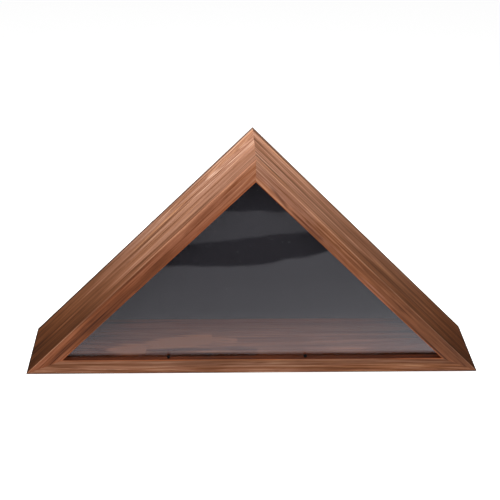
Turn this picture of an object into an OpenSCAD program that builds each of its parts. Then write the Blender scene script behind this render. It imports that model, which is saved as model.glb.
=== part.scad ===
// Triangular display case for a folded flag: three mitred boards around a clear
// front sheet, with a felt-lined back panel held in by turn buttons.
// Right-handed frame in millimetres: X across the front, Y from the front to the
// back, Z up. The origin is on the surface that the case stands on, in the middle
// of the case and its hardware.

/* [Case] */
// Width of the case along its base; the height is half of it
case_w = 450; // [400:5:600]
// Depth of the case from front to back
case_d = 95; // [85:1:130]
// Thickness of the three boards
board_t = 15; // [14:0.5:18]

/* [Clear front sheet] */
// Distance from the front edges back to the sheet
glazing_setback = 5.4; // [4.5:0.1:8]
// Thickness of the sheet
glazing_t = 2; // [1.5:0.1:2.5]
// Depth of the grooves that hold the sheet's sloped edges
groove_depth = 5; // [3:0.5:6]

/* [Back] */
// Thickness of the back panel
panel_t = 6; // [4:0.5:8]
// Thickness of the felt on the panel's inner face
felt_t = 2; // [1:0.5:3]
// How far the panel's back lies below the boards' back edges
panel_recess = 0.5; // [0.4:0.1:1.5]
// Width of the back edge that is left beside the panel
lip_w = 10; // [9.5:0.5:11]

/* [Turn buttons] */
// Length of a button from its pivot to its tip
button_reach = 22; // [18:1:26]
// Width of a button
button_w = 9; // [7:0.5:9.5]
// Thickness of a button's plate
button_t = 1.2; // [0.8:0.1:1.6]

/* [Hanger rings] */
// Diameter of the rings' wire
ring_wire_d = 1.5; // [1.2:0.1:1.6]
// Width of the straps
strap_w = 5.8; // [5:0.1:6]
// Thickness of the straps
strap_t = 0.8; // [0.6:0.1:1]

/* [Hidden] */
$fn = 48;

// The outline is a right-angled triangle standing on its long side
slope = 45;
case_h = case_w / 2;
slope_length = case_h * sqrt(2);
fit_gap = 0.5;                      // play between a sheet and its groove or rabbet
far = 1;                            // how far a cutter runs past the face it cuts

groove_play = 0.2;                  // play between the clear sheet's faces and its groove
shoulder_gap = 0.3;                 // between the felt and the rabbet's shoulder

// Screws that hold the turn buttons and the straps
screw_neck_r = 1.75;
screw_thread_r = 1.5;
screw_core_r = 1.1;
screw_length = 12;
screw_point = 3;
screw_head_r = 3.2;
screw_head_h = 1.8;
screw_cross_w = 0.8;
screw_cross_depth = 0.9;
pivot_gap = 0.06;                   // radial gap between a button and its screw
head_gap = 0.1;                     // between a button and its screw's head
grip_r = 1.2;                       // rib across a button's tip, for a fingernail

// Ring and strap of a hanger
ring_gap = 0.07;                    // radial gap between the ring's bar and the curl
ring_wire_r = ring_wire_d / 2;
curl_inner_r = ring_wire_r + ring_gap;
curl_outer_r = curl_inner_r + strap_t;
ring_bow_r = strap_w / 2 + 0.4 + ring_wire_r;
ring_side = 3;
strap_reach = 11.5;                 // from the ring's bar to the strap's screw
strap_end_r = strap_w / 2;

// Places from front to back: the screws and the rings stand proud of the boards
hardware_h = max(button_t + head_gap + screw_head_h, 2 * curl_outer_r);
front_y = -(case_d + hardware_h) / 2;
back_y = front_y + case_d;
panel_back_y = back_y - panel_recess;
felt_face_y = panel_back_y - panel_t - felt_t;
rabbet_y = felt_face_y - shoulder_gap;

// Corner nails, driven in almost flush with the back edges
nail_wing = 3.4;
nail_t = 0.5;
nail_depth = 10;
nail_proud = 0.1;
base_nail_spots = [12, 19];         // distances from a base corner along its mitre
apex_nail_spot = 8;                 // distance below the apex

// Pins in front of the clear sheet's free edge: their distances from the middle
pin_spots = [-84, 52];
pin_ball_r = 1.6;
pin_neck_h = 0.1;                   // between the board and the ball
pin_shank_r = 0.6;
pin_shank_length = 9;

// Places along a slope, as shares of its length from the base corner to the apex
low_spot = 0.27;                    // pivot of the lower turn button
high_spot = 0.74;                   // pivot of the upper turn button
hanger_spot = 0.55;                 // bar of the hanger's ring
bottom_button_x = 100;              // pivots on the bottom board, from the middle

// Half the width of the case's outline at a height, moved inwards by an inset
function half_width(z, inset) = case_h - inset * sqrt(2) - z;
function apex_z(inset) = case_h - inset * sqrt(2);
// The inset triangle's half base, at the height where its base lies
function half_base(inset) = half_width(inset, inset);
// A point on the left slope's edge line, at a share of the slope's length
function on_left_slope(share, inset) = [
    -case_w / 2 + share * slope_length * cos(slope) + inset * sin(slope),
    share * slope_length * sin(slope) - inset * cos(slope)
];

// A flat shape drawn in X and Z, made solid from y = from to y = to
module along_y(from, to) {
    translate([0, to, 0])
        rotate([90, 0, 0])
            linear_extrude(to - from)
                children();
}

// Triangle inside the outline, its three sides moved inwards by the inset
module inset_triangle(inset) {
    polygon([[-half_base(inset), inset], [half_base(inset), inset], [0, apex_z(inset)]]);
}

// Space for the back panel, open at the back
module rabbet() {
    along_y(rabbet_y, back_y + far) inset_triangle(lip_w);
}

// Groove for the clear sheet
module glazing_groove() {
    groove_y = front_y + glazing_setback;
    along_y(groove_y - groove_play / 2, groove_y + glazing_t + groove_play / 2)
        inset_triangle(board_t - groove_depth);
}

// Puts children at a share of the left slope, with their X axis up the slope
module on_left_back_edge(share) {
    spot = on_left_slope(share, lip_w / 2);
    translate([spot[0], back_y, spot[1]])
        rotate([0, -slope, 0])
            children();
}

// Puts children on a board's back edge, so that their X axis points along the board
// the way a turn button points at rest
module at_left_low() { on_left_back_edge(low_spot) rotate([0, 180, 0]) children(); }
module at_left_high() { on_left_back_edge(high_spot) rotate([0, 180, 0]) children(); }
module at_right_low() { mirror([1, 0, 0]) at_left_low() children(); }
module at_right_high() { mirror([1, 0, 0]) at_left_high() children(); }
module at_bottom_left() {
    translate([-bottom_button_x, back_y, lip_w / 2]) rotate([0, 180, 0]) children();
}
module at_bottom_right() { mirror([1, 0, 0]) at_bottom_left() children(); }
module at_left_hanger() { on_left_back_edge(hanger_spot) children(); }
module at_right_hanger() { mirror([1, 0, 0]) at_left_hanger() children(); }

// A hanger's screw lies down the slope from its ring's bar
module at_strap_screw() { translate([-strap_reach, 0, 0]) children(); }

// Hole drilled in a board's back edge for a screw's core
module pilot_hole() {
    rotate([90, 0, 0]) translate([0, 0, -far]) cylinder(h = screw_length + far, r = screw_core_r);
}

// The three pilot holes of a sloped board
module slope_pilot_holes() {
    at_left_low() pilot_hole();
    at_left_high() pilot_hole();
    at_left_hanger() at_strap_screw() pilot_hole();
}

// Left sloped board, with its groove, rabbet and pilot holes
module sloped_board() {
    difference() {
        along_y(front_y, back_y)
            polygon([
                [-case_w / 2, 0], [-half_base(board_t), board_t],
                [0, apex_z(board_t)], [0, case_h]
            ]);
        glazing_groove();
        rabbet();
        slope_pilot_holes();
    }
}

module left_board() { color("saddlebrown") sloped_board(); }
module right_board() { color("saddlebrown") mirror([1, 0, 0]) sloped_board(); }

module bottom_board() {
    color("sienna")
        difference() {
            along_y(front_y, back_y)
                polygon([
                    [-case_w / 2, 0], [case_w / 2, 0],
                    [half_base(board_t), board_t], [-half_base(board_t), board_t]
                ]);
            rabbet();
            at_bottom_left() pilot_hole();
            at_bottom_right() pilot_hole();
        }
}

// Bent steel strip seen as a V from the back, its point towards +X
module v_nail() {
    for (side = [-1, 1])
        rotate([0, side * 45, 0])
            translate([-nail_wing, -nail_depth, -nail_t / 2])
                cube([nail_wing, nail_depth + nail_proud, nail_t]);
}

module corner_v_nails() {
    color("silver") {
        for (side = [0, 1], spot = base_nail_spots)
            mirror([side, 0, 0])
                translate([-case_w / 2, back_y, 0])
                    rotate([0, -slope / 2, 0])
                        translate([spot, 0, 0])
                            v_nail();
        translate([0, back_y, case_h - apex_nail_spot])
            rotate([0, -90, 0])
                v_nail();
    }
}

// Clear sheet: its sloped edges lie in the grooves, its base on the bottom board
module front_acrylic() {
    inset = board_t - groove_depth + fit_gap;
    sheet_y = front_y + glazing_setback;
    color([0.6, 0.62, 0.66, 0.35])
        along_y(sheet_y, sheet_y + glazing_t)
            polygon([
                [-half_width(board_t, inset), board_t], [half_width(board_t, inset), board_t],
                [0, apex_z(inset)]
            ]);
}

// Round head on a thin shank that is driven into the bottom board
module glazing_pin() {
    ball_z = pin_neck_h + pin_ball_r;
    translate([0, 0, ball_z]) sphere(r = pin_ball_r);
    translate([0, 0, -pin_shank_length]) cylinder(h = pin_shank_length + ball_z, r = pin_shank_r);
}

module glazing_pins() {
    pin_y = front_y + glazing_setback - pin_ball_r - groove_play;
    color([0.06, 0.06, 0.06])
        for (x = pin_spots)
            translate([x, pin_y, board_t])
                glazing_pin();
}

module back_panel() {
    color("peru")
        along_y(panel_back_y - panel_t, panel_back_y)
            inset_triangle(lip_w + fit_gap);
}

module felt_lining() {
    color([0.05, 0.05, 0.06])
        along_y(felt_face_y, felt_face_y + felt_t)
            inset_triangle(lip_w + fit_gap);
}

// Steel plate with a pivot hole, round ends and a rib across its tip. The pivot is
// at the origin, the tip towards +X and the plate's underside at y = 0.
module turn_button() {
    end_r = button_w / 2;
    tip_x = button_reach - end_r;
    color("silver")
        difference() {
            union() {
                along_y(0, button_t) {
                    circle(r = end_r);
                    translate([0, -end_r]) square([tip_x, button_w]);
                    translate([tip_x, 0]) circle(r = end_r);
                }
                intersection() {
                    translate([tip_x, button_t, -end_r * 0.7]) cylinder(h = end_r * 1.4, r = grip_r);
                    translate([0, button_t / 2, -end_r]) cube([button_reach, button_t * 2, button_w]);
                }
            }
            translate([0, button_t + far, 0])
                rotate([90, 0, 0])
                    cylinder(h = button_t + 2 * far, r = screw_neck_r + pivot_gap);
        }
}

module turn_button_left_low() { at_left_low() turn_button(); }
module turn_button_left_high() { at_left_high() turn_button(); }
module turn_button_right_low() { at_right_low() turn_button(); }
module turn_button_right_high() { at_right_high() turn_button(); }
module turn_button_bottom_left() { at_bottom_left() turn_button(); }
module turn_button_bottom_right() { at_bottom_right() turn_button(); }

// Pan-head screw in a board's back edge; its neck fills a plate's hole
module pan_screw(plate_t, neck_r) {
    head_dome_r = (screw_head_r * screw_head_r + screw_head_h * screw_head_h) / (2 * screw_head_h);
    rotate([-90, 0, 0]) {
        cylinder(h = plate_t, r = neck_r);
        translate([0, 0, -screw_length + screw_point])
            cylinder(h = screw_length - screw_point, r = screw_thread_r);
        translate([0, 0, -screw_length])
            cylinder(h = screw_point, r1 = 0.2, r2 = screw_thread_r);
        translate([0, 0, plate_t])
            difference() {
                intersection() {
                    translate([0, 0, screw_head_h - head_dome_r]) sphere(r = head_dome_r);
                    cylinder(h = screw_head_h + far, r = screw_head_r + far);
                }
                for (turn = [0, 90])
                    rotate([0, 0, turn])
                        translate([-screw_head_r * 0.6, -screw_cross_w / 2, screw_head_h - screw_cross_depth])
                            cube([screw_head_r * 1.2, screw_cross_w, screw_cross_depth + far]);
            }
    }
}

module turn_button_screws() {
    plate_t = button_t + head_gap;
    color("gainsboro") {
        at_left_low() pan_screw(plate_t, screw_neck_r);
        at_left_high() pan_screw(plate_t, screw_neck_r);
        at_right_low() pan_screw(plate_t, screw_neck_r);
        at_right_high() pan_screw(plate_t, screw_neck_r);
        at_bottom_left() pan_screw(plate_t, screw_neck_r);
        at_bottom_right() pan_screw(plate_t, screw_neck_r);
    }
}

module hanger_screws() {
    color("gainsboro") {
        at_left_hanger() at_strap_screw() pan_screw(strap_t, screw_thread_r);
        at_right_hanger() at_strap_screw() pan_screw(strap_t, screw_thread_r);
    }
}

// Strip with a round screw end, curled round the ring's bar at the origin's height
module hanger_strap() {
    color("silver")
        difference() {
            union() {
                along_y(0, strap_t) {
                    translate([-strap_reach, 0]) circle(r = strap_end_r);
                    translate([-strap_reach, -strap_w / 2]) square([strap_reach, strap_w]);
                }
                translate([0, curl_outer_r, -strap_w / 2]) cylinder(h = strap_w, r = curl_outer_r);
            }
            translate([0, curl_outer_r, -strap_w / 2 - far])
                cylinder(h = strap_w + 2 * far, r = curl_inner_r);
            translate([-strap_reach, strap_t + far, 0])
                rotate([90, 0, 0])
                    cylinder(h = strap_t + 2 * far, r = screw_thread_r);
        }
}

module left_hanger_strap() { at_left_hanger() hanger_strap(); }
module right_hanger_strap() { at_right_hanger() hanger_strap(); }

// D-shaped ring of round wire: its bar runs through the strap's curl, its bow
// hangs down the slope over the strap
module hanger_ring() {
    color("silver")
        translate([0, curl_outer_r, 0]) {
            translate([0, 0, -ring_bow_r]) cylinder(h = 2 * ring_bow_r, r = ring_wire_r);
            for (side = [-1, 1])
                translate([0, 0, side * ring_bow_r]) {
                    sphere(r = ring_wire_r);
                    rotate([0, -90, 0]) cylinder(h = ring_side, r = ring_wire_r);
                }
            translate([-ring_side, 0, 0])
                rotate([90, -90, 0])
                    rotate_extrude(angle = 180)
                        translate([ring_bow_r, 0])
                            circle(r = ring_wire_r);
        }
}

module left_hanger_ring() { at_left_hanger() hanger_ring(); }
module right_hanger_ring() { at_right_hanger() hanger_ring(); }

left_board();
right_board();
bottom_board();
corner_v_nails();
front_acrylic();
glazing_pins();
back_panel();
felt_lining();
turn_button_left_low();
turn_button_left_high();
turn_button_right_low();
turn_button_right_high();
turn_button_bottom_left();
turn_button_bottom_right();
turn_button_screws();
left_hanger_strap();
right_hanger_strap();
left_hanger_ring();
right_hanger_ring();
hanger_screws();
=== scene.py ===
"""Looks for the folded flag display case: stained pine boards, a clear front sheet, black felt, raw
fibreboard and zinc-plated hardware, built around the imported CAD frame."""

import math

import bpy
from mathutils import Matrix, Vector, noise


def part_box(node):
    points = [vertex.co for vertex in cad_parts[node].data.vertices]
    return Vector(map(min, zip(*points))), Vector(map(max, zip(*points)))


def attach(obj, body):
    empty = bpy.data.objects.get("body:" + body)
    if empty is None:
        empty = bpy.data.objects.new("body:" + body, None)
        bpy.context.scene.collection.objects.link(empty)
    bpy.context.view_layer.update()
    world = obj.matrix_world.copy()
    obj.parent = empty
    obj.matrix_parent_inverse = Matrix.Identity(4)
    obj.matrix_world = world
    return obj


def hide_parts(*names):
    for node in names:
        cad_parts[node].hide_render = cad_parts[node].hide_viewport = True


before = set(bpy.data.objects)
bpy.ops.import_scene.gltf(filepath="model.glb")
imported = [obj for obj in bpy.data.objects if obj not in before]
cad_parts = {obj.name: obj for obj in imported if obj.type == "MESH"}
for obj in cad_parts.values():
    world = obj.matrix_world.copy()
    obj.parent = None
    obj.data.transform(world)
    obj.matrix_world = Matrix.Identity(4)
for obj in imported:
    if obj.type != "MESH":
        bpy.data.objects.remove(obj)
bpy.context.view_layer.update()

MM = 0.001
SLOPE = math.radians(45)
SHARP_ANGLE = math.radians(30)

# Places taken from the frame
left_low, left_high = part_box("left_board")
bottom_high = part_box("bottom_board")[1]
HALF_WIDTH = -left_low.x
FRONT_Y = left_low.y
BACK_Y = left_high.y
APEX_Z = left_high.z
BOARD_T = bottom_high.z
BOARD_DEPTH = BACK_Y - FRONT_Y


# ---------------------------------------------------------------- shader helpers


class Shader:
    """Builds one node tree: every method adds nodes and returns the socket that holds the result."""

    def __init__(self, tree):
        self.tree = tree

    def add(self, kind, inputs=None, **settings):
        made = self.tree.nodes.new(kind)
        for key, value in settings.items():
            setattr(made, key, value)
        for key, value in (inputs or {}).items():
            self.feed(made.inputs[key], value)
        return made

    def feed(self, socket, value):
        if isinstance(value, bpy.types.NodeSocket):
            self.tree.links.new(value, socket)
        elif socket.type == "RGBA" and len(value) == 3:
            socket.default_value = (*value, 1)
        else:
            socket.default_value = value

    def maths(self, operation, *values):
        made = self.add("ShaderNodeMath", operation=operation)
        for index, value in enumerate(values):
            self.feed(made.inputs[index], value)
        return made.outputs[0]

    def product(self, first, *others):
        for other in others:
            first = self.maths("MULTIPLY", first, other)
        return first

    def vary(self, base, value, amount):
        """The base, moved by a value that swings about a half."""
        return self.maths("MULTIPLY_ADD", self.maths("SUBTRACT", value, 0.5), amount, base)

    def squares(self, first, second):
        """The sum of the two squares."""
        return self.maths("MULTIPLY_ADD", first, first, self.maths("MULTIPLY", second, second))

    def distance(self, first, second):
        """How far a point is from 0, with these two coordinates."""
        return self.maths("SQRT", self.squares(first, second))

    def place(self, vector, origin, turn_y):
        """The vector in a frame with that origin, turned about Y."""
        moved = Matrix.Rotation(turn_y, 3, "Y") @ -Vector(origin)
        inputs = {"Vector": vector, "Location": moved, "Rotation": (0, turn_y, 0)}
        return self.add("ShaderNodeMapping", inputs).outputs[0]

    def stretch(self, vector, scale):
        return self.add("ShaderNodeMapping", {"Vector": vector, "Scale": scale}).outputs[0]

    def noise(self, vector, scale=1.0, detail=2.0, roughness=0.5, distortion=0.0):
        inputs = {
            "Vector": vector,
            "Scale": scale,
            "Detail": detail,
            "Roughness": roughness,
            "Distortion": distortion,
        }
        return self.add("ShaderNodeTexNoise", inputs).outputs[0]

    def ramp(self, factor, stops, smooth=False):
        """A colour ramp; stops are (position, grey or linear colour)."""
        made = self.add("ShaderNodeValToRGB", {"Fac": factor})
        band = made.color_ramp
        band.interpolation = "EASE" if smooth else "LINEAR"
        while len(band.elements) < len(stops):
            band.elements.new(1.0)
        for element, (position, colour) in zip(band.elements, stops):
            element.position = position
            element.color = (*colour, 1) if isinstance(colour, tuple) else (colour, colour, colour, 1)
        return made.outputs[0]

    def fade(self, value, start, end):
        """0 at start, 1 at end, smooth between."""
        inputs = {"Value": value, "From Min": start, "From Max": end}
        return self.add("ShaderNodeMapRange", inputs, interpolation_type="SMOOTHSTEP").outputs[0]

    def mix(self, factor, first, second, blend="MIX"):
        made = self.add("ShaderNodeMix", data_type="RGBA", blend_type=blend, clamp_factor=True)
        self.feed(made.inputs[0], factor)
        self.feed(made.inputs[6], first)
        self.feed(made.inputs[7], second)
        return made.outputs[2]


def srgb(red, green, blue):
    """A colour given as 0 to 255, in linear light."""

    def linear(value):
        value /= 255
        return value / 12.92 if value <= 0.04045 else ((value + 0.055) / 1.055) ** 2.4

    return (linear(red), linear(green), linear(blue))


def new_material(name):
    """A material with an empty tree: the builder, its Principled shader and the object coordinates."""
    material = bpy.data.materials.new(name)
    material.use_nodes = True
    material.node_tree.nodes.clear()
    build = Shader(material.node_tree)
    surface = build.add("ShaderNodeBsdfPrincipled")
    output = build.add("ShaderNodeOutputMaterial")
    material.node_tree.links.new(surface.outputs[0], output.inputs["Surface"])
    where = build.add("ShaderNodeTexCoord").outputs["Object"]
    return material, build, surface, where


def set_bump(build, surface, height, distance, strength=1.0):
    bump = build.add("ShaderNodeBump", {"Height": height, "Distance": distance, "Strength": strength})
    build.feed(surface.inputs["Normal"], bump.outputs[0])


# ---------------------------------------------------------------- stained pine

# The stain, from where it soaked in deepest to where the wood took least of it
STAIN = [
    (0.0, srgb(54, 27, 11)),
    (0.2, srgb(84, 46, 20)),
    (0.5, srgb(126, 76, 46)),
    (0.75, srgb(162, 110, 82)),
    (1.0, srgb(204, 156, 124)),
]
DEEPEST_STAIN = STAIN[0][1]
THINNEST_STAIN = STAIN[-1][1]
DEEP_RED = srgb(70, 24, 14)
# The arris at the opening: worn stain with a painted highlight
ORANGE = srgb(196, 104, 56)
HONEY = srgb(208, 150, 104)
# The colour of the painted shade along the back edges and at the floor
EDGE_SHADE = srgb(44, 35, 31)

# Factors on the stain's colour
HONEY_TINT = (1.06, 1.0, 0.84)
# Paler and less warm high on the slopes: partly thinner stain, partly painted sheen
PALE_AND_SHEEN_TINT = (0.93, 1.05, 1.24)
WARM_TINT = (0.98, 0.90, 0.75)
INSIDE_TINT = (1.10, 0.72, 0.55)

# One growth ring, from its start to the next one's: shares of the spacing, and how pale the wood is
ARCHED_RING = [
    (0.0, 0.45),
    (0.3, 0.45),
    (0.4, 0.2),
    (0.5, 0.5),
    (0.6, 1.0),
    (0.74, 0.9),
    (0.82, 0.05),
    (0.92, 0.3),
    (1.0, 0.45),
]
EVEN_RING = [(0.0, 0.0), (0.1, 0.15), (0.26, 0.68), (0.7, 0.78), (0.9, 0.3), (1.0, 0.0)]
RING_MIDDLE = 0.48

# Noises of the wood: scales along, across and through the board, and the noise's settings
WOOD_NOISES = {
    "slow_waver": ((7, 38, 38), {"detail": 1.5}),
    "quick_waver": ((13, 130, 130), {"detail": 2}),
    "fibre": ((11, 460, 460), {"detail": 4, "roughness": 0.7}),
    "pores": ((55, 800, 800), {"detail": 1}),
    "long_streaks": ((4.5, 190, 170), {"detail": 3, "roughness": 0.6}),
    "patches": ((8, 26, 26), {"detail": 3, "roughness": 0.6}),
    "hairs": ((4, 210, 210), {"detail": 2, "roughness": 0.55, "distortion": 0.2}),
    "honey": ((9, 95, 95), {"detail": 2}),
}
YEAR_WIDTH_SCALE = 90
YEAR_CONTRAST_SCALE = 260

# How much the noises move the stain's level
FIBRE_SWING = 1.1
STREAK_SWING = 0.85
PATCH_SWING = 0.5
DARK_STREAK = -0.12
HAIR_LINE = -0.2

# Where the face towards the inside has its own levels, as shares of the depth: in front of the clear
# sheet, behind it and at the back edge. These levels are painted light and shade: shade on the strip in
# front of the sheet, light that comes in through the sheet behind it, and less of it towards the back.
LIT_INSIDE_PLACES = (0.10, 0.16, 1.0)
# How much painted shade darkens the inside of the bottom board towards its corners
CORNER_SHADE = -0.4


class Board:
    """Where a point is on one board, as sockets, and the noises of its wood.

    The board's own frame has X along the board, Y from its front edge to its back edge, and Z out of its
    outer face, which is at Z = 0."""

    def __init__(self, build, where, origin, turn_y, length, seed):
        position = build.place(where, origin, turn_y)
        x, self.across, self.out = build.add("ShaderNodeSeparateXYZ", {"Vector": position}).outputs
        self.along = build.maths("ABSOLUTE", x)
        self.share = build.maths("DIVIDE", self.along, length)
        self.depth_share = build.maths("DIVIDE", self.across, BOARD_DEPTH)
        self.on_front = build.fade(self.across, 4 * MM, 0.5 * MM)
        on_inside = build.fade(self.out, -BOARD_T + 1.0 * MM, -BOARD_T + 0.2 * MM)
        self.on_inside = build.product(on_inside, build.fade(self.across, 0.2 * MM, 0.8 * MM))
        self.behind_sheet = build.product(self.on_inside, build.fade(self.across, 7 * MM, 9 * MM))
        self.outside = build.maths("SUBTRACT", 1.0, build.maths("MAXIMUM", self.on_front, self.on_inside))
        # How strongly the grain shows: less on the face towards the inside
        self.clearness = build.maths("MULTIPLY_ADD", self.on_inside, -0.6, 1.0)
        shifted = build.add("ShaderNodeVectorMath", {0: position, 1: (seed, seed, seed)}, operation="ADD")
        for name, (scale, settings) in WOOD_NOISES.items():
            setattr(self, name, build.noise(build.stretch(shifted.outputs[0], scale), **settings))


def growth_rings(
    build, board, ring, pith, spacing, waviness, shift=0.0, year_spread=0.0, year_contrast=0.0
):
    """How pale the wood is in its growth ring, and how strong that year's ring is, round a pith that
    rises and wavers along the board.

    ring is the profile of one ring, spacing its width, and shift moves the rings inwards.
    pith is (Y of the pith, its depth below the outer face at the turning point, place of the turning
    point along the board, how the pith rises away from there).
    year_spread and year_contrast are how uneven the years are in width and in contrast."""
    pith_y, pith_depth, turning, rise = pith
    from_turning = build.maths("SUBTRACT", board.along, turning)
    depth = build.maths("MULTIPLY_ADD", build.product(from_turning, from_turning), -rise, pith_depth)
    waver = build.vary(0.0, board.slow_waver, waviness)
    ripple = build.vary(0.0, board.quick_waver, waviness * 0.25)
    side = build.maths("ADD", build.maths("SUBTRACT", board.across, pith_y), waver)
    below = build.maths("ADD", build.maths("ADD", board.out, depth), ripple)
    radius = build.maths("MULTIPLY_ADD", waver, 0.35, build.distance(side, below))
    width_noise = build.noise(radius, scale=YEAR_WIDTH_SCALE, detail=1)
    uneven_radius = build.vary(build.maths("ADD", radius, shift), width_noise, spacing * year_spread)
    through_ring = build.maths("FRACT", build.maths("DIVIDE", uneven_radius, spacing))
    strength = build.fade(build.noise(radius, scale=YEAR_CONTRAST_SCALE, detail=1), 0.35, 0.65)
    strength = build.maths("MULTIPLY_ADD", strength, year_contrast, 1 - year_contrast * 0.5)
    return build.ramp(through_ring, ring), strength


def figure_contrast(build, board, strength, face_figure, front_figure, figure_comes_in):
    """How much the growth rings move the stain's level. The two figures are (share of the length,
    contrast) stops for the broad faces and the front edge, and figure_comes_in has the two Y between which
    the figure comes in on the broad faces."""
    contrast = build.ramp(board.share, face_figure, smooth=True)
    contrast = build.product(contrast, build.fade(board.across, *figure_comes_in))
    contrast = build.mix(board.on_front, contrast, build.ramp(board.share, front_figure))
    uneven = build.maths("MULTIPLY_ADD", board.patches, 1.2, 0.4)
    return build.product(contrast, board.clearness, uneven, strength)


def broad_level(build, board, face, front, inside):
    """How light the stain is before the grain: (share of the length, level) stops for the broad faces and
    for the front edge, and the inside's levels at LIT_INSIDE_PLACES, which are painted light and shade."""
    on_face = build.ramp(board.share, face, smooth=True)
    level = build.mix(board.on_front, on_face, build.ramp(board.share, front, smooth=True))
    # Painted light: the broad faces get lighter towards the back edge
    painted_light_backwards = build.maths("MULTIPLY_ADD", board.share, -0.2, 0.28)
    painted_light_backwards = build.product(painted_light_backwards, build.maths("SUBTRACT", 1.0, board.on_front))
    level = build.vary(level, board.depth_share, painted_light_backwards)
    # Painted light and shade on the face towards the inside
    painted_inside_light = build.ramp(board.depth_share, list(zip(LIT_INSIDE_PLACES, inside)))
    return build.mix(board.on_inside, level, painted_inside_light)


def painted_corner_shade(build, board, level):
    """Painted shade: the inside of the bottom board, darker towards its two corners."""
    from_middle = build.maths("ABSOLUTE", build.maths("SUBTRACT", board.share, 0.5))
    in_shaded_corner = build.product(build.fade(from_middle, 0.18, 0.42), board.behind_sheet)
    return build.maths("MULTIPLY_ADD", in_shaded_corner, CORNER_SHADE, level)


def grainy(build, board, level):
    """The level with fibres, long streaks, patches of uneven stain and hair lines."""
    level = build.vary(level, board.fibre, build.product(board.clearness, FIBRE_SWING))
    streaky = build.maths("MULTIPLY_ADD", board.on_front, -0.55, board.clearness)
    level = build.vary(level, board.long_streaks, build.product(streaky, STREAK_SWING))
    level = build.maths("MULTIPLY_ADD", build.fade(board.long_streaks, 0.44, 0.34), DARK_STREAK, level)
    level = build.vary(level, board.patches, PATCH_SWING)
    from_hair = build.maths("ABSOLUTE", build.maths("SUBTRACT", board.hairs, 0.5))
    broken = build.product(board.clearness, build.fade(board.fibre, 0.6, 0.4))
    on_hair = build.product(build.fade(from_hair, 0.035, 0.005), broken)
    return build.maths("MULTIPLY_ADD", on_hair, HAIR_LINE, level)


def spotted(build, board, level, spot):
    """The level with one lighter or darker spot on the face towards the inside, cut off sharply at one
    end: (X, Y, half size in X, half size in Y, slope of its line, X of the sharp end, how much lighter)."""
    spot_x, spot_y, half_x, half_y, slope, sharp_end, lighter = spot
    from_centre = build.maths("SUBTRACT", board.along, spot_x)
    beside = build.maths("SUBTRACT", board.across, spot_y)
    from_line = build.maths("MULTIPLY_ADD", from_centre, -slope, beside)
    along_spot = build.maths("DIVIDE", from_centre, half_x)
    across_spot = build.maths("DIVIDE", from_line, half_y)
    off = build.squares(along_spot, across_spot)
    off = build.vary(off, board.long_streaks, 5.0)
    off = build.vary(off, board.patches, 2.0)
    past_end = build.fade(board.along, sharp_end - 1 * MM, sharp_end + 1 * MM)
    in_spot = build.product(build.fade(off, 2.0, 0.0), board.behind_sheet, past_end)
    return build.maths("MULTIPLY_ADD", in_spot, lighter, level)


def stained(build, board, level, front_tint, opening_tint, opening_amount):
    """The stain's colour at a level: paler high on the slopes, partly thinner stain and partly painted
    sheen, and warmer below, redder inside, and dark in the pores. front_tint is a factor on the front
    edge's colour, and opening_tint another one next to the opening, taken up as the (share of the length,
    amount) stops of opening_amount say."""
    colour = build.ramp(level, STAIN)
    on_honey = build.product(build.fade(board.honey, 0.5, 0.68), build.fade(level, 0.35, 0.6))
    high = build.vary(board.share, board.depth_share, 0.4)
    # Painted sheen and thinner stain high on the slopes and towards the back
    thin_stain_and_sheen = build.product(build.fade(high, 0.1, 0.7), board.outside)
    warm = build.product(build.fade(board.share, 0.35, 0.05), board.outside)
    at_opening = build.product(build.fade(board.out, -5 * MM, -11 * MM), board.on_front)
    at_opening = build.product(at_opening, build.ramp(board.share, opening_amount))
    tints = [
        (on_honey, HONEY_TINT),
        (thin_stain_and_sheen, PALE_AND_SHEEN_TINT),
        (warm, WARM_TINT),
        (board.on_front, front_tint),
        (at_opening, opening_tint),
        (board.on_inside, INSIDE_TINT),
    ]
    for amount, tint in tints:
        colour = build.mix(amount, colour, tint, "MULTIPLY")
    in_pores = build.product(build.fade(board.pores, 0.34, 0.24), 0.6)
    return build.mix(in_pores, colour, DEEPEST_STAIN)


def streak_mask(build, board, aside, streak):
    """Where a streak is, on X and the other given coordinate: (start X, start aside, end X, end aside,
    half width)."""
    start, end, half_width = Vector(streak[0:2]), Vector(streak[2:4]), streak[4]
    run = (end - start).normalized()
    from_start = build.maths("SUBTRACT", board.along, start.x)
    aside = build.maths("SUBTRACT", aside, start.y)
    travelled = build.maths("MULTIPLY_ADD", from_start, run.x, build.product(aside, run.y))
    beside = build.maths("SUBTRACT", build.product(aside, run.x), build.product(from_start, run.y))
    beside = build.vary(beside, board.quick_waver, half_width * 3)
    reach = (end - start).length
    begun = build.fade(travelled, -4 * MM, 6 * MM)
    unfinished = build.fade(travelled, reach + 8 * MM, reach - 10 * MM)
    near = build.fade(build.maths("ABSOLUTE", beside), half_width * 2.2, 0.0)
    return build.product(begun, unfinished, near)


def worn_and_highlit_arris(build, board, colour, beside, tint, width, most):
    """Thinner stain and a painted highlight on an arris of the front edge; beside is how far a point is
    from it in Z.
    """
    worn_and_highlit = build.fade(build.distance(board.across, beside), width, width * 0.4)
    uneven = build.maths("MULTIPLY_ADD", build.fade(board.patches, 0.35, 0.6), 0.7, 0.3)
    return build.mix(build.product(worn_and_highlit, build.product(uneven, most)), colour, tint)


def painted_edge_shade(build, board, colour, on_floor):
    """Painted shade: a dark line along the back edge, and at the floor, on the lower face or at the lower
    end.
    """
    at_back = build.fade(board.across, BOARD_DEPTH - 7.0 * MM, BOARD_DEPTH - 3.0 * MM)
    at_back = build.product(at_back, build.fade(board.out, -3.0 * MM, -0.5 * MM))
    if on_floor:
        at_floor = build.fade(board.out, -1.3 * MM, -0.3 * MM)
    else:
        at_floor = build.fade(board.along, 3 * MM, 1 * MM)
    return build.mix(build.product(build.maths("MAXIMUM", at_back, at_floor), 0.75), colour, EDGE_SHADE)


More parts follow.
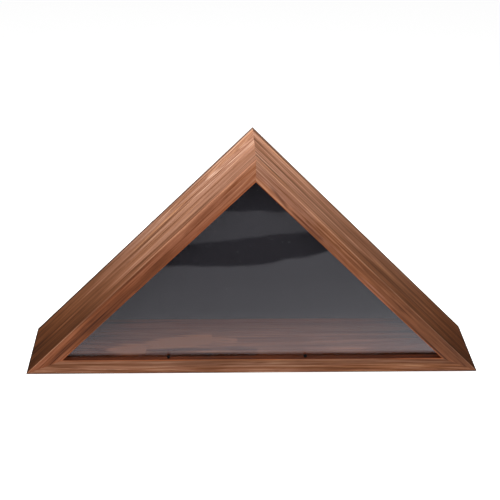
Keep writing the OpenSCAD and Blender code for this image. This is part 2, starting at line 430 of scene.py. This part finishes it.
def pine(
    name, place, growth, levels, figure, tints, red_streaks=(), honey_streaks=(), spots=(), on_floor=False
):
    """Flat-sawn pine under brown stain, in the board's own frame.

    place, growth, levels, figure and tints are what Board, growth_rings, broad_level, figure_contrast and
    stained ask for.
    red_streaks are dark marks on the front edge: (start X, start Z, end X, end Z, half width).
    honey_streaks are light marks on the outer face: (start X, start Y, end X, end Y, half width).
    on_floor says that the case stands on the outer face."""
    material, build, surface, where = new_material(name)
    board = Board(build, where, **place)
    ring, strength = growth_rings(build, board, **growth)

    # On the slopes the levels rise towards the apex: partly the stain, partly painted light from above
    level = broad_level(build, board, **levels)
    # Painted shade in the inside corners of the bottom board
    if on_floor:
        level = painted_corner_shade(build, board, level)
    ring_swing = build.maths("SUBTRACT", ring, RING_MIDDLE)
    contrast = figure_contrast(build, board, strength, **figure)
    level = build.maths("MULTIPLY_ADD", ring_swing, contrast, level)
    level = grainy(build, board, level)
    for spot in spots:
        level = spotted(build, board, level, spot)
    colour = stained(build, board, level, **tints)

    for streak in red_streaks:
        mark = streak_mask(build, board, board.out, streak)
        mark = build.product(mark, build.fade(board.across, 30 * MM, 4 * MM))
        colour = build.mix(build.product(mark, 0.55), colour, DEEP_RED)
    for streak in honey_streaks:
        mark = streak_mask(build, board, board.across, streak)
        mark = build.product(mark, build.fade(board.out, -4 * MM, 0.0), build.fade(board.fibre, 0.4, 0.6))
        colour = build.mix(build.product(mark, 0.5), colour, HONEY)

    # Arrises, worn and with a painted highlight: orange at the opening, pale outside
    from_inner_face = build.maths("ADD", board.out, BOARD_T)
    colour = worn_and_highlit_arris(build, board, colour, from_inner_face, ORANGE, width=1.2 * MM, most=0.6)
    if not on_floor:
        colour = worn_and_highlit_arris(build, board, colour, board.out, THINNEST_STAIN, width=0.75 * MM, most=0.6)
    # Painted shade along the back edge and at the floor
    colour = painted_edge_shade(build, board, colour, on_floor)

    build.feed(surface.inputs["Base Color"], colour)
    build.feed(surface.inputs["Roughness"], build.maths("MULTIPLY_ADD", board.fibre, 0.2, 0.4))
    surface.inputs["Specular IOR Level"].default_value = 0.18
    height = build.maths("MULTIPLY_ADD", ring, 0.5, board.fibre)
    height = build.maths("MULTIPLY_ADD", board.pores, 0.6, height)
    set_bump(build, surface, height, 0.1 * MM, 0.35)
    return material


SLOPE_LENGTH = (APEX_Z**2 + HALF_WIDTH**2) ** 0.5

LEFT_PINE = pine(
    "stained_pine_left",
    place=dict(origin=(-HALF_WIDTH, FRONT_Y, 0), turn_y=SLOPE, length=SLOPE_LENGTH, seed=3.7),
    growth=dict(
        ring=ARCHED_RING,
        pith=(0.071, 0.032, 0.145, 0.757),
        spacing=9.0 * MM,
        waviness=3 * MM,
        shift=1.8 * MM,
        year_contrast=0.4,
    ),
    # Levels that rise towards the apex: partly the stain, partly painted light from above
    levels=dict(
        face=[(0.0, 0.29), (0.2, 0.42), (0.5, 0.64), (0.75, 0.67), (1.0, 0.65)],
        front=[(0.0, 0.66), (0.15, 0.54), (0.3, 0.42), (0.5, 0.45), (0.7, 0.68), (0.85, 0.78), (1.0, 0.84)],
        inside=(0.25, 0.5, 0.3),
    ),
    figure=dict(
        face_figure=[(0.3, 0.07), (0.55, 0.15), (0.8, 0.19), (0.9, 0.24)],
        front_figure=[(0.0, 0.06), (0.3, 0.1), (0.5, 0.2), (1.0, 0.2)],
        figure_comes_in=(0.030, 0.055),
    ),
    tints=dict(
        front_tint=(1.04, 0.86, 0.78),
        opening_tint=(0.82, 0.71, 0.63),
        opening_amount=[(0.0, 0.0), (0.58, 0.0), (0.72, 0.85), (1.0, 0.5)],
    ),
    honey_streaks=[(0.255, 0.074, 0.316, 0.076, 0.0022), (0.150, 0.060, 0.215, 0.063, 0.0015)],
)
RIGHT_PINE = pine(
    "stained_pine_right",
    place=dict(origin=(HALF_WIDTH, FRONT_Y, 0), turn_y=-SLOPE, length=SLOPE_LENGTH, seed=11.3),
    growth=dict(
        ring=EVEN_RING,
        pith=(-0.065, 0.200, 0.100, 0.05),
        spacing=3.2 * MM,
        waviness=2.5 * MM,
        year_spread=2.6,
        year_contrast=1.5,
    ),
    # Levels that rise towards the apex: partly the stain, partly painted light from above
    levels=dict(
        face=[(0.0, 0.32), (0.3, 0.44), (0.6, 0.52), (0.85, 0.57), (1.0, 0.54)],
        front=[(0.0, 0.42), (0.15, 0.46), (0.3, 0.46), (0.5, 0.56), (1.0, 0.74)],
        inside=(0.25, 0.5, 0.3),
    ),
    figure=dict(
        face_figure=[(0.2, 0.2), (0.5, 0.34), (0.75, 0.5)],
        front_figure=[(0.0, 0.12), (0.88, 0.12), (0.92, 0.32), (1.0, 0.32)],
        figure_comes_in=(0.180, 0.080),
    ),
    tints=dict(
        front_tint=(1.10, 1.11, 1.20),
        opening_tint=(1.06, 1.03, 1.05),
        opening_amount=[(0.0, 1.0), (1.0, 1.0)],
    ),
    red_streaks=[(0.262, -0.0125, 0.290, -0.0085, 0.0011), (0.215, -0.0115, 0.262, -0.0120, 0.0007)],
    honey_streaks=[(0.225, 0.078, 0.310, 0.080, 0.0020), (0.080, 0.040, 0.150, 0.041, 0.0018)],
)
BOTTOM_PINE = pine(
    "stained_pine_bottom",
    place=dict(origin=(HALF_WIDTH, FRONT_Y, 0), turn_y=math.pi, length=2 * HALF_WIDTH, seed=23.9),
    growth=dict(
        ring=EVEN_RING,
        pith=(0.020, 0.045, 0.200, 0.22),
        spacing=3.4 * MM,
        waviness=7 * MM,
        year_spread=1.5,
        year_contrast=1.0,
    ),
    levels=dict(
        face=[(0.0, 0.4), (1.0, 0.4)],
        front=[(0.0, 0.48), (0.25, 0.72), (0.45, 0.77), (0.65, 0.64), (0.85, 0.71), (1.0, 0.66)],
        inside=(0.38, 0.92, 0.5),
    ),
    figure=dict(
        face_figure=[(0.0, 0.4), (1.0, 0.4)],
        front_figure=[(0.0, 0.2), (0.6, 0.2), (0.75, 0.1), (1.0, 0.1)],
        figure_comes_in=(0.0, 0.010),
    ),
    tints=dict(
        front_tint=(1.0, 1.0, 1.0),
        opening_tint=(0.70, 0.72, 0.75),
        opening_amount=[(0.0, 1.0), (0.3, 0.85), (0.5, 0.95), (0.65, 1.0), (0.8, 0.3), (1.0, 0.3)],
    ),
    spots=[
        (0.292, 0.038, 0.040, 0.010, -0.20, 0.266, 0.55),
        (0.348, 0.020, 0.018, 0.012, 0.0, 0.332, 0.6),
        (0.255, 0.040, 0.022, 0.005, 0.1, 0.240, 0.3),
        (0.298, 0.014, 0.036, 0.008, 0.0, 0.266, -0.45),
        (0.245, 0.014, 0.030, 0.010, 0.0, 0.220, -0.3),
    ],
    on_floor=True,
)


# ---------------------------------------------------------------- other materials


def black_felt():
    material, build, surface, where = new_material("black_felt")
    nap = build.noise(build.stretch(where, (2200, 2200, 2200)), detail=2, roughness=0.6)
    clumps = build.noise(build.stretch(where, (160, 160, 160)), detail=3, roughness=0.6)
    colour = build.ramp(nap, [(0.2, srgb(52, 50, 56)), (0.8, srgb(65, 63, 69))])
    build.feed(surface.inputs["Base Color"], colour)
    surface.inputs["Roughness"].default_value = 1.0
    surface.inputs["Specular IOR Level"].default_value = 0.1
    surface.inputs["Sheen Weight"].default_value = 0.08
    surface.inputs["Sheen Roughness"].default_value = 0.5
    height = build.maths("MULTIPLY_ADD", clumps, 0.8, nap)
    set_bump(build, surface, height, 0.1 * MM, 0.6)
    return material


def raw_fibreboard():
    material, build, surface, where = new_material("raw_mdf")
    fibres = build.noise(build.stretch(where, (900, 900, 900)), detail=4, roughness=0.75)
    flecks = build.noise(build.stretch(where, (480, 480, 1100)), detail=2)
    cloud = build.noise(build.stretch(where, (18, 18, 18)), detail=3)
    tone = build.maths("ADD", build.maths("MULTIPLY", fibres, 0.6), build.maths("MULTIPLY", cloud, 0.4))
    colour = build.ramp(tone, [(0.3, srgb(128, 94, 62)), (0.7, srgb(176, 140, 100))])
    colour = build.mix(build.fade(flecks, 0.62, 0.72), colour, srgb(112, 80, 52))
    build.feed(surface.inputs["Base Color"], colour)
    build.feed(surface.inputs["Roughness"], build.maths("MULTIPLY_ADD", fibres, 0.2, 0.65))
    set_bump(build, surface, fibres, 0.15 * MM)
    return material


def zinc_steel():
    """Dull zinc plating with fine rolling lines and faint passivation colours."""
    material, build, surface, where = new_material("zinc_steel")
    brushed = build.noise(build.stretch(where, (5200, 500, 500)), detail=3)
    cloud = build.noise(build.stretch(where, (240, 240, 240)), detail=3, roughness=0.6)
    spangle = build.noise(build.stretch(where, (900, 900, 900)), detail=2)
    passivation = [(0.3, (0.47, 0.46, 0.42)), (0.5, (0.60, 0.60, 0.60)), (0.7, (0.56, 0.59, 0.65))]
    colour = build.ramp(cloud, passivation)
    colour = build.mix(build.fade(spangle, 0.5, 0.62), colour, (0.80, 0.80, 0.80), "MULTIPLY")
    build.feed(surface.inputs["Base Color"], colour)
    surface.inputs["Metallic"].default_value = 0.7
    build.feed(surface.inputs["Roughness"], build.maths("MULTIPLY_ADD", brushed, 0.3, 0.3))
    set_bump(build, surface, brushed, 0.03 * MM)
    return material


def black_pin_paint():
    material, build, surface, where = new_material("black_pin")
    specks = build.noise(build.stretch(where, (1500, 1500, 1500)), detail=2)
    colour = build.ramp(specks, [(0.3, srgb(6, 6, 7)), (0.7, srgb(16, 15, 16))])
    build.feed(surface.inputs["Base Color"], colour)
    build.feed(surface.inputs["Roughness"], build.maths("MULTIPLY_ADD", specks, 0.3, 0.45))
    surface.inputs["Specular IOR Level"].default_value = 0.15
    set_bump(build, surface, specks, 0.02 * MM)
    return material


def clear_acrylic():
    """A thin sheet: what shows through it, and a mirror share that grows towards grazing views."""
    material = bpy.data.materials.new("clear_acrylic")
    material.use_nodes = True
    material.node_tree.nodes.clear()
    build = Shader(material.node_tree)
    where = build.add("ShaderNodeTexCoord").outputs["Object"]
    through = build.add("ShaderNodeBsdfTransparent", {"Color": (0.96, 0.965, 0.97, 1)})
    mirror = build.add("ShaderNodeBsdfGlossy", {"Color": (1, 1, 1, 1), "Roughness": 0.03})
    dust = build.add("ShaderNodeBsdfDiffuse", {"Color": (0.75, 0.75, 0.78, 1)})
    fresnel = build.add("ShaderNodeFresnel", {"IOR": 1.49}).outputs[0]
    clear = build.add("ShaderNodeMixShader")
    build.feed(clear.inputs[0], fresnel)
    build.feed(clear.inputs[1], through.outputs[0])
    build.feed(clear.inputs[2], mirror.outputs[0])
    specks = build.noise(build.stretch(where, (420, 420, 420)), detail=1)
    haze = build.maths("MULTIPLY", build.fade(specks, 0.76, 0.8), 0.2)
    dusty = build.add("ShaderNodeMixShader")
    build.feed(dusty.inputs[0], haze)
    build.feed(dusty.inputs[1], clear.outputs[0])
    build.feed(dusty.inputs[2], dust.outputs[0])
    output = build.add("ShaderNodeOutputMaterial")
    build.feed(output.inputs["Surface"], dusty.outputs[0])
    return material


FELT = black_felt()
FIBREBOARD = raw_fibreboard()
ZINC = zinc_steel()
PIN_PAINT = black_pin_paint()
ACRYLIC = clear_acrylic()


# ---------------------------------------------------------------- CAD nodes


WELD_WITHIN = 0.002 * MM
BOARD_EDGE = 0.35 * MM
PANEL_EDGE = 0.3 * MM
STAMPED_EDGE = 0.15 * MM


def dress(node, material, edge=0.0):
    """Gives a CAD node its material and rounds its sharp edges by that much."""
    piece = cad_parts[node]
    piece.data.materials.clear()
    piece.data.materials.append(material)
    if edge:
        weld = piece.modifiers.new("weld", "WELD")
        weld.merge_threshold = WELD_WITHIN
        bevel = piece.modifiers.new("arris", "BEVEL")
        bevel.width = edge
        bevel.segments = 2
        bevel.limit_method = "ANGLE"
        bevel.angle_limit = SHARP_ANGLE


dress("left_board", LEFT_PINE, edge=BOARD_EDGE)
dress("right_board", RIGHT_PINE, edge=BOARD_EDGE)
dress("bottom_board", BOTTOM_PINE, edge=BOARD_EDGE)
dress("felt_lining", FELT)
dress("back_panel", FIBREBOARD, edge=PANEL_EDGE)
dress("glazing_pins", PIN_PAINT)
dress("corner_v_nails", ZINC)
dress("turn_button_screws", ZINC)
dress("hanger_screws", ZINC)
for side in ("left", "right"):
    dress(f"{side}_hanger_strap", ZINC)
    dress(f"{side}_hanger_ring", ZINC)
for place in ("left_low", "left_high", "right_low", "right_high", "bottom_left", "bottom_right"):
    dress(f"turn_button_{place}", ZINC, edge=STAMPED_EDGE)


# ---------------------------------------------------------------- clear front sheet


SHEET_ROWS = 64
# How far the lower edge would be pushed back at its left and right end if the grooves didn't hold it
LEAN_LEFT = -0.3 * MM
LEAN_RIGHT = 0.6 * MM
LONG_WAVE = 0.14 * MM
SHORT_WAVE = 0.4 * LONG_WAVE
# Shares of the height: the strip along the grooves that holds the sheet, and the strip at the foot where
# the waves grow
HELD_STRIP = 1 / 6
FOOT_STRIP = 1 / 5


def ripple(x, z, across, upwards, seed):
    """A smooth noise, from about -1 to 1, with that many waves per metre each way."""
    return noise.noise(Vector((x * across, seed, z * upwards)))


def warped_sheet():
    """The clear front sheet as a fine grid, with the slight bow and waves of a thin sheet whose lower
    edge is free. It stays inside its grooves along the slopes."""
    low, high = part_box("front_acrylic")
    half, height = high.x, high.z - low.z
    thickness = high.y - low.y

    def bend(x, z):
        """How far the sheet is pushed back at a point."""
        up = (z - low.z) / height
        free = max(0.0, min(1.0, (high.z - z - abs(x)) / height / HELD_STRIP))
        lean = LEAN_LEFT + (LEAN_RIGHT - LEAN_LEFT) * (1 + x / half) / 2
        waves = LONG_WAVE * ripple(x, z, across=22, upwards=9, seed=3.1)
        waves += SHORT_WAVE * ripple(x, z, across=55, upwards=30, seed=7.7)
        waves *= min(1.0, up / FOOT_STRIP)
        return free * (lean * (1 - up) ** 2 + waves)

    vertices, faces, rows_of = [], [], []
    for row in range(SHEET_ROWS + 1):
        z = low.z + height * row / SHEET_ROWS
        reach = half * (1 - row / SHEET_ROWS)
        count = 2 * (SHEET_ROWS - row)
        rows_of.append([])
        for column in range(count + 1):
            x = 0.0 if count == 0 else -reach + 2 * reach * column / count
            rows_of[-1].append(len(vertices))
            vertices.append((x, low.y + bend(x, z), z))
    front_count = len(vertices)
    for x, y, z in vertices[:front_count]:
        vertices.append((x, y + thickness, z))
    for lower, upper in zip(rows_of[:-1], rows_of[1:]):
        top = len(upper) - 1
        faces.append((lower[0], lower[1], upper[0]))
        for column in range(top):
            faces.append((lower[column + 1], lower[column + 2], upper[column + 1], upper[column]))
        faces.append((lower[-2], lower[-1], upper[-1]))
    back = [tuple(front_count + index for index in reversed(face)) for face in faces]
    rim = rows_of[0] + [row[-1] for row in rows_of[1:]] + [row[0] for row in reversed(rows_of[1:-1])]
    sides = []
    for first, second in zip(rim, rim[1:] + rim[:1]):
        sides.append((second, first, front_count + first, front_count + second))
    mesh = bpy.data.meshes.new("clear_front")
    mesh.from_pydata(vertices, [], faces + back + sides)
    mesh.validate()
    mesh.shade_smooth()
    mesh.set_sharp_from_angle(angle=SHARP_ANGLE)
    mesh.materials.append(ACRYLIC)
    sheet = bpy.data.objects.new("clear_front", mesh)
    bpy.context.scene.collection.objects.link(sheet)
    return sheet


sheet = warped_sheet()
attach(sheet, "case")
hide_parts("front_acrylic")


# ---------------------------------------------------------------- stage, lights and camera


def flat_card(name, corners, material):
    """A flat polygon of the stage; its glow is seen but is not a lamp."""
    material.cycles.emission_sampling = "NONE"
    mesh = bpy.data.meshes.new(name)
    mesh.from_pydata(corners, [], [tuple(range(len(corners)))])
    mesh.materials.append(material)
    card = bpy.data.objects.new(name, mesh)
    bpy.context.scene.collection.objects.link(card)
    return card


FLOOR_REACH = 12.0
FLOOR_GLOW = 0.8


def pale_floor():
    """A floor that is lit like any other, with a glow that hides shadows from the camera."""
    material, build, surface, _ = new_material("pale_floor")
    surface.inputs["Base Color"].default_value = (0.93, 0.93, 0.93, 1)
    surface.inputs["Roughness"].default_value = 0.9
    surface.inputs["Specular IOR Level"].default_value = 0.1
    surface.inputs["Emission Color"].default_value = (1, 1, 1, 1)
    seen = build.add("ShaderNodeLightPath").outputs["Is Camera Ray"]
    build.feed(surface.inputs["Emission Strength"], build.maths("MULTIPLY", seen, FLOOR_GLOW))
    return material


floor = flat_card(
    "floor",
    [(x * FLOOR_REACH, y * FLOOR_REACH, 0) for x, y in ((-1, -1), (1, -1), (1, 1), (-1, 1))],
    pale_floor(),
)
floor.visible_glossy = False


def plain_glow(name, level):
    material, _, surface, _ = new_material(name)
    surface.inputs["Base Color"].default_value = (0, 0, 0, 1)
    surface.inputs["Specular IOR Level"].default_value = 0.0
    surface.inputs["Emission Color"].default_value = (1, 1, 1, 1)
    surface.inputs["Emission Strength"].default_value = level
    return material


# How much brighter a mirrored card gets per metre to the right, as a share of its brightest level
BRIGHTER_RIGHTWARDS = 1.2


def mirrored_glow(name, stops):
    """A bluish white glow; stops are (distance in front of the case, level)."""
    material, build, surface, where = new_material(name)
    surface.inputs["Base Color"].default_value = (0, 0, 0, 1)
    surface.inputs["Specular IOR Level"].default_value = 0.0
    surface.inputs["Emission Color"].default_value = (0.98, 0.97, 1.04, 1)
    place = build.add("ShaderNodeSeparateXYZ", {"Vector": where})
    ahead = build.maths("SUBTRACT", FRONT_Y, place.outputs[1])
    reach, brightest = stops[-1][0], max(level for _, level in stops)
    shares = [(distance / reach, level / brightest) for distance, level in stops]
    level = build.ramp(build.maths("DIVIDE", ahead, reach), shares)
    rightwards = brightest * BRIGHTER_RIGHTWARDS
    to_the_right = build.maths("MULTIPLY_ADD", place.outputs[0], rightwards, brightest)
    build.feed(surface.inputs["Emission Strength"], build.maths("MULTIPLY", level, to_the_right))
    return material


# What the clear sheet mirrors: the white table in front of the case, as two parts with a dark gap between
# them, beyond the camera's view. Levels are (distance in front of the case, level) stops, and outlines are
# (X, Y from the case's front).
TABLE_LEVELS = [(0.031, 1.25), (0.079, 1.05), (0.118, 0.7), (0.198, 0.545), (0.33, 0.53)]
TABLE_OUTLINE = [
    (-0.60, 0.0),
    (0.60, 0.0),
    (0.60, -0.327),
    (0.12, -0.288),
    (0.09, -0.264),
    (0.05, -0.248),
    (0.02, -0.232),
    (-0.60, -0.236),
]
FAR_TABLE_LEVELS = [(0.0, 0.34), (0.4, 0.34)]
FAR_TABLE_OUTLINE = [
    (-0.60, -0.282),
    (-0.07, -0.295),
    (-0.02, -0.307),
    (0.03, -0.325),
    (0.09, -0.332),
    (0.60, -0.356),
    (0.60, -0.390),
    (0.02, -0.400),
    (-0.60, -0.419),
]
CARD_STEP = 0.3 * MM


def table_card(name, levels, outline, height):
    corners = [(x, FRONT_Y + y, height) for x, y in outline]
    return flat_card(f"mirrored_{name}", corners, mirrored_glow(f"{name}_glow", levels))


# A dim wall behind the case, which the metal on its back mirrors
WALL_Y = 1.6
WALL_REACH = 1.5
WALL_HEIGHT = 0.9
WALL_GLOW = 0.18
wall_corners = [(x * WALL_REACH, WALL_Y, z * WALL_HEIGHT) for x, z in ((-1, 0), (1, 0), (1, 1), (-1, 1))]

cards = [
    table_card("table", TABLE_LEVELS, TABLE_OUTLINE, CARD_STEP),
    table_card("far_table", FAR_TABLE_LEVELS, FAR_TABLE_OUTLINE, 2 * CARD_STEP),
    flat_card("mirrored_wall", wall_corners, plain_glow("wall_glow", WALL_GLOW)),
]
for card in cards:
    card.visible_camera = False
    card.visible_diffuse = False
    card.visible_shadow = False
    card.visible_transmission = False


def soft_light(name, place, target, size, power):
    light = bpy.data.lights.new(name, "AREA")
    light.shape = "RECTANGLE"
    light.size, light.size_y = size
    light.energy = power
    lamp = bpy.data.objects.new(name, light)
    lamp.location = place
    aim = Vector(target) - Vector(place)
    lamp.rotation_euler = aim.to_track_quat("-Z", "Y").to_euler()
    lamp.visible_camera = False
    bpy.context.scene.collection.objects.link(lamp)


soft_light("overhead", place=(-0.03, 0.13, 0.50), target=(-0.03, 0.05, 0.1), size=(0.5, 0.3), power=4.0)
soft_light("front_fill", place=(-0.1, -2.1, 0.95), target=(0, 0, 0.1), size=(1.6, 0.8), power=24)

# The sky is white to the camera, lights the case dimly, and is dimmer still in mirrors
SKY_LIGHT = 0.15
SKY_IN_MIRRORS = 0.1

world = bpy.data.worlds.new("studio")
bpy.context.scene.world = world
world.use_nodes = True
sky = Shader(world.node_tree)
world.node_tree.nodes.clear()
ray = sky.add("ShaderNodeLightPath").outputs
sky_level = sky.maths("MULTIPLY_ADD", ray["Is Camera Ray"], 1 - SKY_LIGHT, SKY_LIGHT)
mirrored = sky.maths("MULTIPLY_ADD", ray["Is Glossy Ray"], SKY_IN_MIRRORS - 1, 1.0)
sky_level = sky.product(sky_level, mirrored)
background = sky.add("ShaderNodeBackground", {"Color": (1, 1, 1, 1), "Strength": sky_level})
sky.feed(sky.add("ShaderNodeOutputWorld").inputs["Surface"], background.outputs[0])

# The camera looks down on the case from in front; its place is measured from the case's front face
CAMERA_FROM_FRONT = Vector((-0.0466, -1.0430, 0.6131))
CAMERA_YAW = math.radians(2.304)
CAMERA_PITCH = math.radians(-24.63)
CAMERA_ROLL = math.radians(0.78)
CAMERA_VIEW = math.radians(23.397)

level_ahead = Vector((math.sin(CAMERA_YAW), math.cos(CAMERA_YAW), 0))
ahead = level_ahead * math.cos(CAMERA_PITCH) + Vector((0, 0, math.sin(CAMERA_PITCH)))
level_right = Vector((math.cos(CAMERA_YAW), -math.sin(CAMERA_YAW), 0))
level_up = level_right.cross(ahead)
right = math.cos(CAMERA_ROLL) * level_right + math.sin(CAMERA_ROLL) * level_up
up = math.cos(CAMERA_ROLL) * level_up - math.sin(CAMERA_ROLL) * level_right

lens = bpy.data.cameras.new("camera")
lens.sensor_fit = "HORIZONTAL"
lens.angle = CAMERA_VIEW
lens.clip_start = 0.01
camera = bpy.data.objects.new("camera", lens)
turn = Matrix((right, up, -ahead)).transposed().to_4x4()
camera.matrix_world = Matrix.Translation(CAMERA_FROM_FRONT + Vector((0, FRONT_Y, 0))) @ turn
bpy.context.scene.collection.objects.link(camera)
bpy.context.scene.camera = camera
bpy.context.scene.view_settings.view_transform = "Standard"

bpy.context.view_layer.update()
